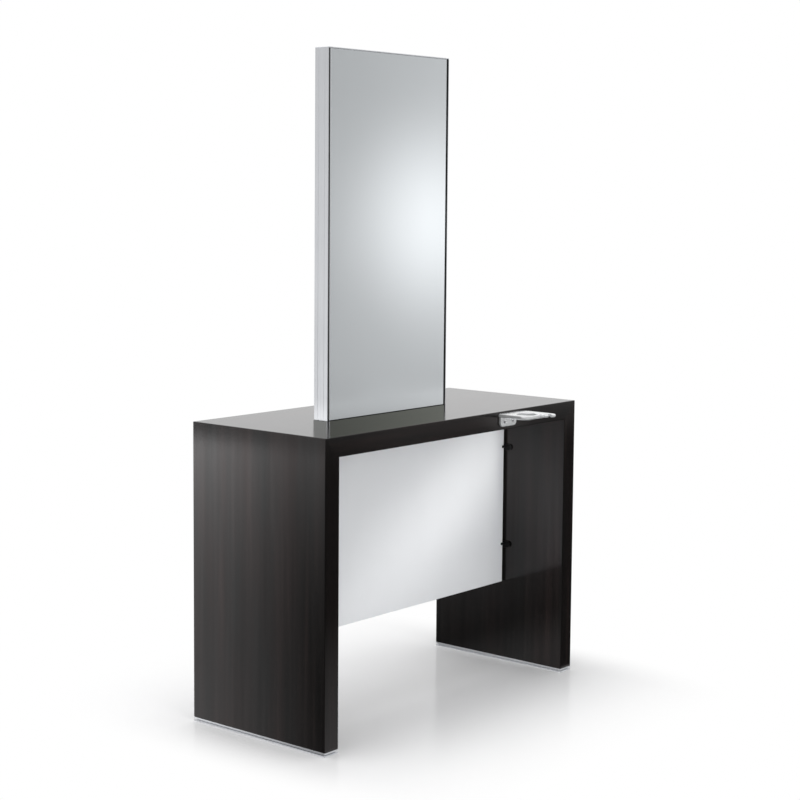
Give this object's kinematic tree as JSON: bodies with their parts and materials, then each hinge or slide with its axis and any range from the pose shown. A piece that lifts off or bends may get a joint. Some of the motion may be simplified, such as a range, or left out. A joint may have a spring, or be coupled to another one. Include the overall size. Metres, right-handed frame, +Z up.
{
  "type": "double sided salon station",
  "caption": "Free-standing salon work table of dark mitred slabs with a two-faced mirror tower, a white panel between the legs and cast tool holders on the long edges.",
  "frame": {"origin": "on the floor, under the middle of the table", "axes": "+Z up, +X along the table, -Y towards the front of the picture"},
  "size_m": [1.2, 0.792, 1.97],
  "materials": {
    "dark_veneer": "dark stained veneer, satin lacquer",
    "brushed_aluminium": "brushed along its length",
    "mirror_glass": "silvered, bevelled edge",
    "black_trim": "fine matt black",
    "white_lacquer": "satin white lacquer",
    "polished_casting": "polished",
    "zinc_steel": "zinc plated",
    "core_board": "raw board"
  },
  "bodies": {
    "station": {"clip_screw_left_lower_front": "black_trim", "clip_screw_left_lower_rear": "black_trim", "clip_screw_left_upper_front": "black_trim", "clip_screw_left_upper_rear": "black_trim", "clip_screw_right_lower_front": "black_trim", "clip_screw_right_lower_rear": "black_trim", "clip_screw_right_upper_front": "black_trim", "clip_screw_right_upper_rear": "black_trim", "edge_trim_front_left": "black_trim", "edge_trim_front_right": "black_trim", "edge_trim_rear_left": "black_trim", "edge_trim_rear_right": "black_trim", "foot_insert_front_left": "zinc_steel", "foot_insert_front_right": "zinc_steel", "foot_insert_rear_left": "zinc_steel", "foot_insert_rear_right": "zinc_steel", "foot_strip_screw_front_left": "zinc_steel", "foot_strip_screw_front_right": "zinc_steel", "foot_strip_screw_rear_left": "zinc_steel", "foot_strip_screw_rear_right": "zinc_steel", "front_holder_screw_1": "zinc_steel", "front_holder_screw_2": "zinc_steel", "front_mirror": "mirror_glass", "front_tool_holder": "polished_casting", "left_foot_strip": "brushed_aluminium", "left_leg": "dark_veneer", "left_mitre_spline": "core_board", "modesty_panel": "white_lacquer", "panel_clip_left_lower": "black_trim", "panel_clip_left_upper": "black_trim", "panel_clip_right_lower": "black_trim", "panel_clip_right_upper": "black_trim", "rear_holder_screw_1": "zinc_steel", "rear_holder_screw_2": "zinc_steel", "rear_mirror": "mirror_glass", "rear_tool_holder": "polished_casting", "right_foot_strip": "brushed_aluminium", "right_leg": "dark_veneer", "right_mitre_spline": "core_board", "tower_base_plate": "zinc_steel", "tower_bolt_left": "zinc_steel", "tower_bolt_right": "zinc_steel", "tower_cap": "brushed_aluminium", "tower_core": "core_board", "tower_left_profile": "brushed_aluminium", "tower_right_profile": "brushed_aluminium", "worktop": "dark_veneer"},
    "foot_front_left": {"levelling_foot_front_left": "zinc_steel"},
    "foot_front_right": {"levelling_foot_front_right": "zinc_steel"},
    "foot_rear_left": {"levelling_foot_rear_left": "zinc_steel"},
    "foot_rear_right": {"levelling_foot_rear_right": "zinc_steel"}
  },
  "joints": [
    {"name": "level_front_left", "type": "slide", "parent": "station", "child": "foot_front_left", "axis": [0, 0, -1], "range_m": [0, 0.01]},
    {"name": "level_front_right", "type": "slide", "parent": "station", "child": "foot_front_right", "axis": [0, 0, -1], "range_m": [0, 0.01]},
    {"name": "level_rear_left", "type": "slide", "parent": "station", "child": "foot_rear_left", "axis": [0, 0, -1], "range_m": [0, 0.01]},
    {"name": "level_rear_right", "type": "slide", "parent": "station", "child": "foot_rear_right", "axis": [0, 0, -1], "range_m": [0, 0.01]}
  ]
}
